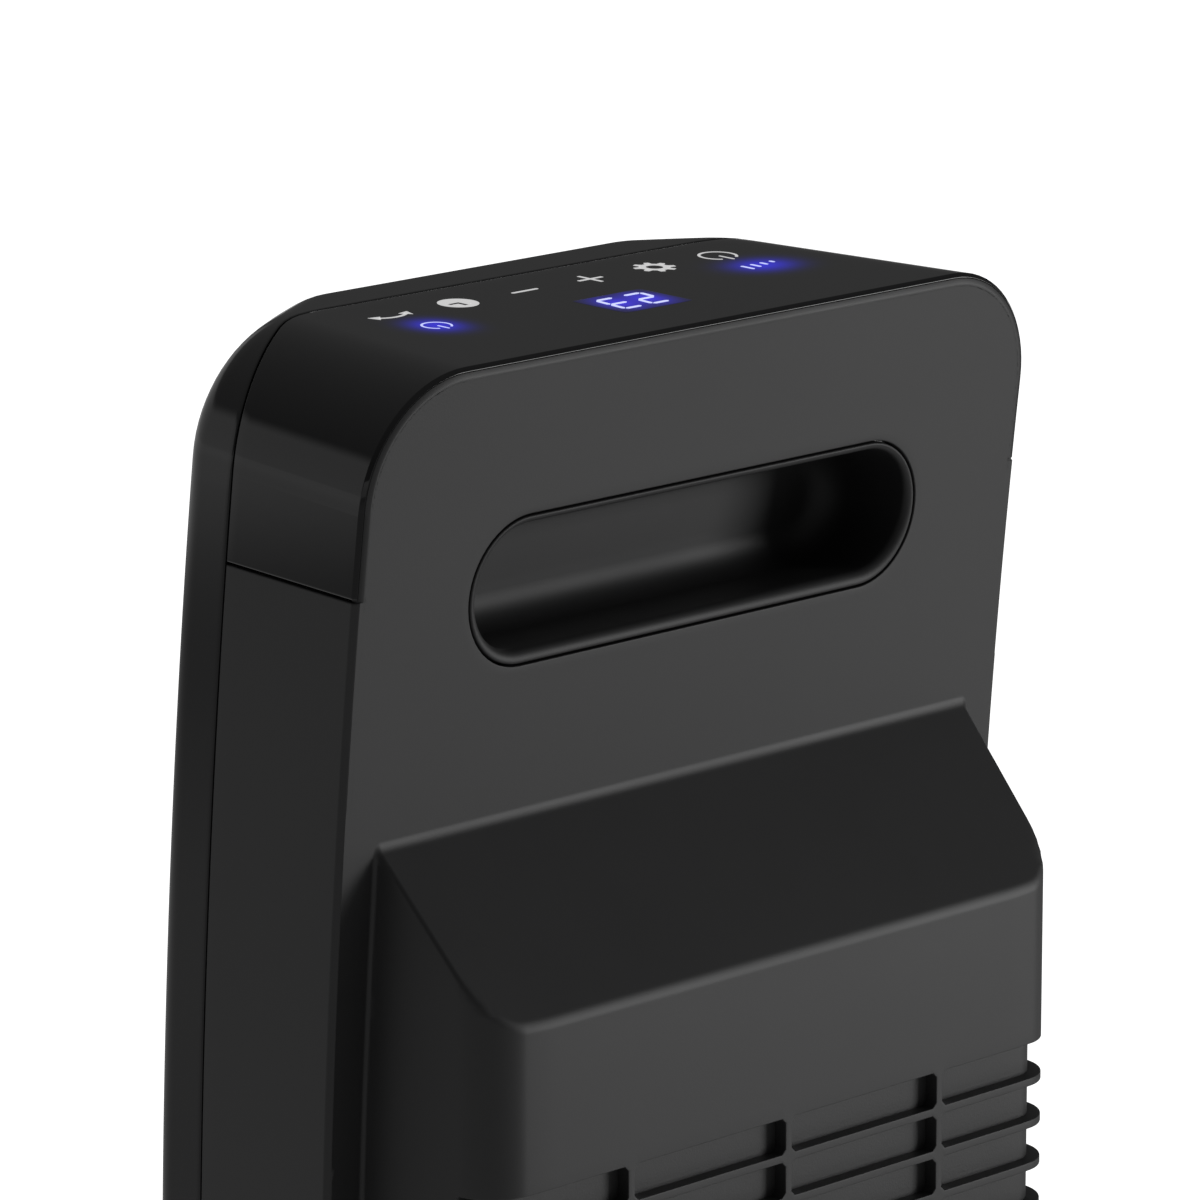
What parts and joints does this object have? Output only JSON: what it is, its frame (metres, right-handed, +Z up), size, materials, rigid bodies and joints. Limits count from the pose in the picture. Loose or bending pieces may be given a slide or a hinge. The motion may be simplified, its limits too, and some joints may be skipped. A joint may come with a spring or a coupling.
{
  "type": "tower fan heater",
  "caption": "Bowed black tower fan heater with a touch panel on top, a finger recess behind, a slotted rear intake, a front louvre grille and a round base that it swings on.",
  "frame": {"origin": "centre of the round base, on the surface that it stands on", "axes": "+Z up, -Y towards the front grille, +Y towards the intake and handle, +X to the right of a user who faces the front"},
  "size_m": [0.22, 0.22, 0.5309],
  "materials": {
    "bezel": "satin gloss black",
    "grille": "fine matt black",
    "housing": "fine matt black",
    "cap": "high gloss black",
    "window": "smoked lens lit blue from below",
    "display": "white epoxy",
    "board": "green solder mask",
    "cup": "fine matt black",
    "screen": "grey nylon dust mesh",
    "casing": "natural polymer",
    "wheel": "dark polymer",
    "shaft_steel": "ground",
    "bronze": "sintered",
    "rubber": "matt",
    "motor": "plated",
    "ceramic": "heat-proof polymer",
    "fins": "bare",
    "sensor": "plain",
    "wires": "sleeved",
    "switch": "satin black",
    "neck": "satin black",
    "post": "zinc plated",
    "gear": "natural acetal",
    "base": "satin black",
    "weight": "as cast",
    "plunger": "red polymer",
    "screws": "zinc plated"
  },
  "bodies": {
    "base": {"base_cover": "base", "base_plate": "base", "base_weight": "weight", "rubber_feet": "rubber", "cord_gland": "rubber", "tip_switch": "switch", "swivel_bearing": "gear", "oscillation_motor": "motor", "base_screws": "screws"},
    "upper": {"front_bezel": "bezel", "outlet_grille": "grille", "rear_housing": "housing", "control_cap": "cap", "display_window": "window", "display_module": "display", "touch_board": "board", "handle_cup": "cup", "intake_screen": "screen", "scroll_casing": "casing", "bearing_bush": "bronze", "bearing_rubber": "rubber", "fan_motor": "motor", "motor_mounts": "rubber", "heater_frame": "ceramic", "heater_element": "fins", "thermal_cutout": "sensor", "power_board": "board", "wiring": "wires", "rocker_housing": "switch", "swivel_neck": "neck", "swivel_post": "post", "sector_gear": "gear", "retaining_ring": "post", "housing_screws": "screws", "board_screws": "screws"},
    "fan_rotor": {"impeller": "wheel", "impeller_shaft": "shaft_steel"},
    "pinion": {"oscillation_pinion": "gear"},
    "power_rocker": {"power_rocker": "switch"},
    "tip_plunger": {"tip_plunger": "plunger"}
  },
  "joints": [
    {"name": "swing", "type": "hinge", "parent": "base", "child": "upper", "pos_m": [0, 0, 0.03], "axis": [0, 0, 1], "range_deg": [-35, 35]},
    {"name": "wheel_spin", "type": "hinge", "parent": "upper", "child": "fan_rotor", "pos_m": [0, 0.027, 0.25], "axis": [0, 0, 1], "continuous": true},
    {"name": "pinion_spin", "type": "hinge", "parent": "base", "child": "pinion", "pos_m": [0, -0.036, 0.02], "axis": [0, 0, 1], "range_deg": [-176, 176]},
    {"name": "rocker_tip", "type": "hinge", "parent": "upper", "child": "power_rocker", "pos_m": [-0.05, 0.03934, 0.0765], "axis": [1, 0, 0], "range_deg": [-24, 0]},
    {"name": "tip_travel", "type": "slide", "parent": "base", "child": "tip_plunger", "axis": [0, 0, 1], "range_m": [-0.004, 0], "stiffness_N_per_m": 40, "springref_m": -0.006}
  ],
  "couplings": [
    {"joint": "pinion_spin", "follows": "swing", "ratio": -5}
  ]
}
